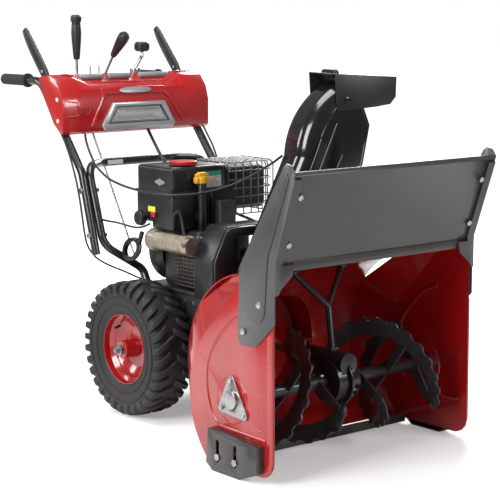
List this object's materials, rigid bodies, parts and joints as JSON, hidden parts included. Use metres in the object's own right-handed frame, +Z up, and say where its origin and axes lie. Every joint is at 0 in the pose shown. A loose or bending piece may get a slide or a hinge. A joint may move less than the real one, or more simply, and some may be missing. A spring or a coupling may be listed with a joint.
{
  "type": "snow blower",
  "caption": "Two-stage walk-behind snow blower with auger intake, turning discharge chute, engine, drive wheels, handlebars and control panel.",
  "frame": {"origin": "on the ground, at the centre of the bounding box's bottom", "axes": "+Z up, the auger mouth faces -Y, the operator stands at +Y, and the operator's left is +X"},
  "size_m": [0.7664, 1.548, 1.183],
  "materials": {
    "red_paint": "gloss enamel",
    "black_paint": "satin enamel",
    "grey_paint": "satin enamel",
    "steel": "zinc plated",
    "cast_metal": "as cast",
    "cast_iron": "painted black",
    "black_plastic": "fine texture",
    "gloss_plastic": "gloss",
    "red_plastic": "satin",
    "yellow_plastic": "satin",
    "tyre": "new rubber",
    "rubber": "matt",
    "silver_plastic": "metallised",
    "lens": "clear, ribbed"
  },
  "bodies": {
    "machine": {"housing_wrap": "red_paint", "housing_sides": "red_paint", "impeller_drum": "red_paint", "scraper_bar": "black_paint", "skid_shoes": "black_paint", "auger_bearings": "steel", "auger_gearbox": "cast_iron", "gearbox_strap": "black_paint", "extension_sides": "grey_paint", "extension_panel": "grey_paint", "bolts": "steel", "chute_drive_box": "black_plastic", "frame_box": "black_paint", "drive_belts": "rubber", "belt_cover": "black_plastic", "engine_crankcase": "cast_metal", "recoil_housing": "black_plastic", "carburettor_box": "black_plastic", "fuel_tank_and_cover": "black_plastic", "oil_filler_tube": "black_plastic", "electric_starter": "cast_metal", "muffler": "steel", "muffler_guard": "black_paint", "lower_handle": "black_paint", "upper_handles": "black_paint", "handle_grips": "rubber", "control_panel": "red_paint", "console_deck": "silver_plastic", "headlight_bezel": "silver_plastic", "headlight_lens": "lens", "deflector_cable": "rubber", "control_cables": "rubber"},
    "auger_set": {"auger_shaft_and_worm_wheel": "steel", "auger_ribbon_left": "black_paint", "auger_ribbon_right": "black_paint"},
    "impeller_set": {"impeller_shaft_and_pulley": "steel", "impeller": "red_paint"},
    "crankshaft": {"crankshaft_and_flywheel": "steel"},
    "drive_disc": {"drive_disc_and_pulley": "cast_metal"},
    "hex_shaft": {"friction_shaft": "steel"},
    "friction_wheel": {"friction_wheel": "rubber"},
    "drive_wheels": {"axle_and_final_gear": "steel", "tyres": "tyre", "wheel_rims": "red_paint"},
    "idler_arm": {"belt_idler": "steel"},
    "chute_set": {"chute": "gloss_plastic", "chute_ring_gear": "black_plastic"},
    "deflector": {"deflector": "gloss_plastic"},
    "chute_crank": {"chute_crank": "black_plastic"},
    "crank_knob": {"crank_knob": "gloss_plastic"},
    "speed_lever": {"speed_lever": "black_plastic"},
    "deflector_lever": {"deflector_lever": "black_plastic"},
    "shift_rod": {"shift_rod": "steel"},
    "clutch_paddle_left": {"clutch_paddle_left": "black_plastic"},
    "clutch_paddle_right": {"clutch_paddle_right": "black_plastic"},
    "fuel_cap": {"fuel_cap": "red_plastic"},
    "oil_dipstick": {"oil_dipstick": "yellow_plastic"},
    "choke_knob": {"choke_knob": "black_plastic"},
    "stop_key": {"stop_key": "red_plastic"},
    "recoil_handle": {"recoil_handle": "black_plastic"}
  },
  "joints": [
    {"name": "impeller_spin", "type": "hinge", "parent": "machine", "child": "impeller_set", "pos_m": [0, -0.53, 0.25], "axis": [0, 1, 0], "continuous": true},
    {"name": "auger_spin", "type": "hinge", "parent": "machine", "child": "auger_set", "pos_m": [0, -0.53, 0.2], "axis": [1, 0, 0], "continuous": true},
    {"name": "crank_spin", "type": "hinge", "parent": "machine", "child": "crankshaft", "pos_m": [0, -0.53, 0.478], "axis": [0, 1, 0], "continuous": true},
    {"name": "drive_disc_spin", "type": "hinge", "parent": "machine", "child": "drive_disc", "pos_m": [0, -0.53, 0.26], "axis": [0, 1, 0], "continuous": true},
    {"name": "wheel_spin", "type": "hinge", "parent": "machine", "child": "drive_wheels", "pos_m": [0, 0.153, 0.202], "axis": [1, 0, 0], "continuous": true},
    {"name": "hex_shaft_spin", "type": "hinge", "parent": "machine", "child": "hex_shaft", "pos_m": [0, 0.07, 0.26], "axis": [1, 0, 0], "continuous": true},
    {"name": "friction_wheel_shift", "type": "slide", "parent": "hex_shaft", "child": "friction_wheel", "axis": [1, 0, 0], "range_m": [-0.026, 0.06]},
    {"name": "idler_swing", "type": "hinge", "parent": "machine", "child": "idler_arm", "pos_m": [-0.072, -0.126, 0.33], "axis": [0, 1, 0], "range_deg": [0, 6]},
    {"name": "chute_turn", "type": "hinge", "parent": "machine", "child": "chute_set", "pos_m": [0, -0.248, 0.46], "axis": [0, 0, 1], "range_deg": [-173, 17], "deforming": ["deflector_cable"]},
    {"name": "deflector_tilt", "type": "hinge", "parent": "chute_set", "child": "deflector", "pos_m": [0.20052, -0.29062, 0.945], "axis": [-0.2079, -0.9781, 0], "range_deg": [-50, 0]},
    {"name": "chute_crank_turn", "type": "hinge", "parent": "machine", "child": "chute_crank", "pos_m": [0.068, 0.504, 1], "axis": [0, 0, 1], "range_deg": [-700, 70]},
    {"name": "crank_knob_spin", "type": "hinge", "parent": "chute_crank", "child": "crank_knob", "pos_m": [0.096, 0.504, 1.066], "axis": [0, 0, 1], "continuous": true},
    {"name": "speed_lever_swing", "type": "hinge", "parent": "machine", "child": "speed_lever", "pos_m": [-0.15, 0.504, 0.968], "axis": [1, 0, 0], "range_deg": [-11, 20]},
    {"name": "deflector_lever_swing", "type": "hinge", "parent": "machine", "child": "deflector_lever", "pos_m": [-0.047, 0.504, 0.968], "axis": [1, 0, 0], "range_deg": [-14, 0]},
    {"name": "shift_rod_slide", "type": "slide", "parent": "machine", "child": "shift_rod", "axis": [0, 0.5117, 0.8592], "range_m": [-0.007, 0.012]},
    {"name": "clutch_paddle_left_press", "type": "hinge", "parent": "machine", "child": "clutch_paddle_left", "pos_m": [0.25, 0.516, 0.987], "axis": [1, 0, 0], "range_deg": [-30, 0], "stiffness_Nm_per_rad": 1.5, "springref_deg": 8.59},
    {"name": "clutch_paddle_right_press", "type": "hinge", "parent": "machine", "child": "clutch_paddle_right", "pos_m": [-0.25, 0.516, 0.987], "axis": [1, 0, 0], "range_deg": [-30, 0], "stiffness_Nm_per_rad": 1.5, "springref_deg": 8.59},
    {"name": "fuel_cap_turn", "type": "hinge", "parent": "machine", "child": "fuel_cap", "pos_m": [-0.062, 0.076, 0.747], "axis": [0, 0, 1], "range_deg": [0, 90]},
    {"name": "dipstick_lift", "type": "slide", "parent": "machine", "child": "oil_dipstick", "axis": [0, 0, 1], "range_m": [0, 0.15]},
    {"name": "choke_turn", "type": "hinge", "parent": "machine", "child": "choke_knob", "pos_m": [-0.14, 0.162, 0.588], "axis": [1, 0, 0], "range_deg": [-90, 0]},
    {"name": "stop_key_pull", "type": "slide", "parent": "machine", "child": "stop_key", "axis": [-1, 0, 0], "range_m": [0, 0.02]},
    {"name": "recoil_pull", "type": "slide", "parent": "machine", "child": "recoil_handle", "axis": [-0.8, 0, 0.6], "range_m": [0, 0.025], "stiffness_N_per_m": 60, "springref_m": -0.08}
  ],
  "couplings": [
    {"joint": "auger_spin", "follows": "impeller_spin", "ratio": 0.1},
    {"joint": "crank_spin", "follows": "impeller_spin", "ratio": 2.642},
    {"joint": "drive_disc_spin", "follows": "impeller_spin", "ratio": 1.226},
    {"joint": "hex_shaft_spin", "follows": "wheel_spin", "ratio": -3.7143},
    {"joint": "chute_crank_turn", "follows": "chute_turn", "ratio": 4},
    {"joint": "deflector_lever_swing", "follows": "deflector_tilt", "ratio": 0.28},
    {"joint": "friction_wheel_shift", "follows": "speed_lever_swing", "m_per_rad": 0.13},
    {"joint": "shift_rod_slide", "follows": "speed_lever_swing", "m_per_rad": 0.03},
    {"joint": "idler_swing", "follows": "clutch_paddle_right_press", "ratio": -0.2}
  ]
}
